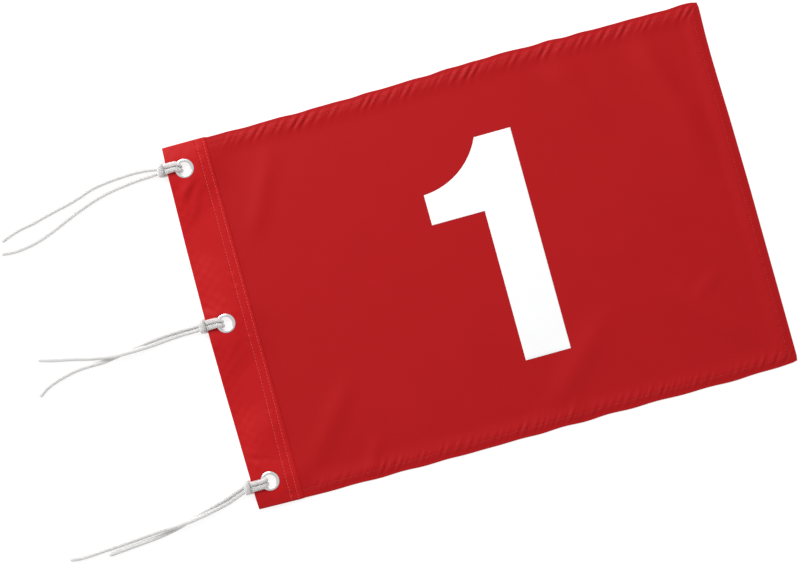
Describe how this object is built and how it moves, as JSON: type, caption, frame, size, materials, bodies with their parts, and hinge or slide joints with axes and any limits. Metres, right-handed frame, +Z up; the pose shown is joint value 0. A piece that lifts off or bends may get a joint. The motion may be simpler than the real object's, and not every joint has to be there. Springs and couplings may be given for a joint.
{
  "type": "golf pin flag with tie cords",
  "caption": "Rectangular red nylon golf pin flag with a white figure one, a doubled heading with metal grommets, and white tie cords hitched through them.",
  "frame": {"origin": "under the middle of the flag, on the surface that it lies on, the ties left out", "axes": "+X from the hoist to the fly, +Y from the bottom hem to the top hem, +Z up out of the front face"},
  "size_m": [0.6843, 0.3444, 0.013],
  "materials": {
    "fly_nylon": "plain-weave flag nylon, satin sheen, piece-dyed red",
    "heading_nylon": "the same nylon doubled and pressed flat, a little brighter",
    "tape": "undyed woven webbing",
    "thread": "red polyester sewing thread",
    "grommet": "bright rolled metal",
    "print": "opaque white printed film",
    "cord": "white braided cord"
  },
  "bodies": {
    "heading": {"heading_band": "heading_nylon", "heading_tape": "tape", "panel_tongue": "fly_nylon", "heading_outer_seam": "thread", "heading_inner_seam": "thread", "upper_eyelet": "grommet", "middle_eyelet": "grommet", "lower_eyelet": "grommet", "upper_washer": "grommet", "middle_washer": "grommet", "lower_washer": "grommet"},
    "fly": {"fly_panel": "fly_nylon", "top_hem": "fly_nylon", "bottom_hem": "fly_nylon", "fly_hem": "fly_nylon", "top_hem_seam": "thread", "bottom_hem_seam": "thread", "fly_hem_seam": "thread", "front_numeral": "print", "back_numeral": "print"},
    "upper_tie": {"upper_tie_hitch": "cord", "upper_tie_top_tail": "cord", "upper_tie_low_tail": "cord"},
    "middle_tie": {"middle_tie_hitch": "cord", "middle_tie_top_tail": "cord", "middle_tie_low_tail": "cord"},
    "lower_tie": {"lower_tie_hitch": "cord", "lower_tie_top_tail": "cord", "lower_tie_low_tail": "cord"}
  },
  "joints": [
    {"name": "fly_fold", "type": "hinge", "parent": "heading", "child": "fly", "pos_m": [-0.2098, 0, 0.0066], "axis": [0, -1, 0], "range_deg": [0, 160]},
    {"name": "upper_tie_swing", "type": "hinge", "parent": "heading", "child": "upper_tie", "pos_m": [-0.2355, 0.147, 0.0055], "axis": [0, 0, 1], "range_deg": [-3, 10]},
    {"name": "middle_tie_swing", "type": "hinge", "parent": "heading", "child": "middle_tie", "pos_m": [-0.2365, 0.002, 0.0055], "axis": [0, 0, 1], "range_deg": [-10, 16]},
    {"name": "lower_tie_swing", "type": "hinge", "parent": "heading", "child": "lower_tie", "pos_m": [-0.236, -0.146, 0.0055], "axis": [0, 0, 1], "range_deg": [-10, 10]}
  ]
}
